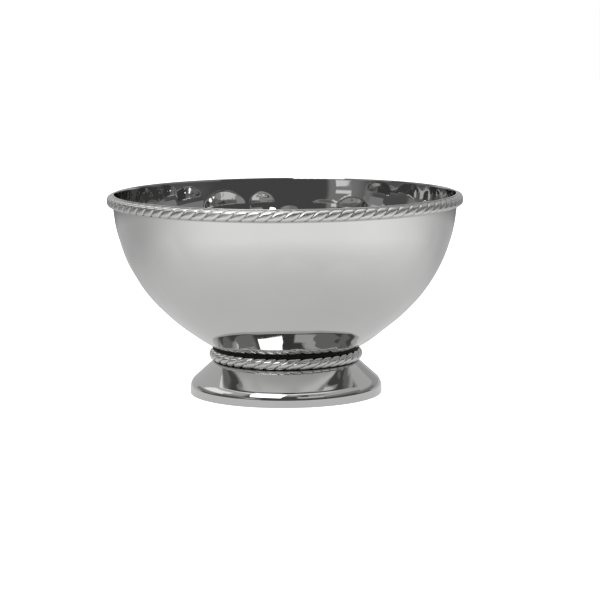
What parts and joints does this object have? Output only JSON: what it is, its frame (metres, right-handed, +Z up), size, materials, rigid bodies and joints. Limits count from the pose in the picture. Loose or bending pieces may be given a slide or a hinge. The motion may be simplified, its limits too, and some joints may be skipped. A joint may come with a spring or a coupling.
{
  "type": "punch bowl",
  "caption": "Footed punch bowl in hammered polished steel with rope-pattern trim round the rim and the waist, for serving punch from a table.",
  "frame": {"origin": "centre of the foot's resting edge, on the table surface", "axes": "+Z up along the bowl's axis of symmetry, towards the open mouth"},
  "size_m": [0.381, 0.381, 0.2159],
  "materials": {
    "hammered_steel": "mirror-polished stainless steel, hammered from the inside",
    "rope_steel": "mirror-polished stainless steel, cast rope pattern",
    "foot_steel": "mirror-polished spun stainless steel",
    "solder": "dull silver solder",
    "gasket_rubber": "smooth black rubber",
    "plain_steel": "unpolished stainless sheet",
    "fixing_steel": "bright plated steel"
  },
  "bodies": {
    "root": {"bowl": "hammered_steel", "rim_rope": "rope_steel", "rim_solder": "solder", "foot": "foot_steel", "foot_rope": "rope_steel", "seat_gasket": "gasket_rubber", "stud_disc": "plain_steel", "stud": "fixing_steel", "clamp_plate": "plain_steel", "wide_washer": "fixing_steel", "lock_washer": "fixing_steel", "hex_nut": "fixing_steel"}
  },
  "joints": []
}
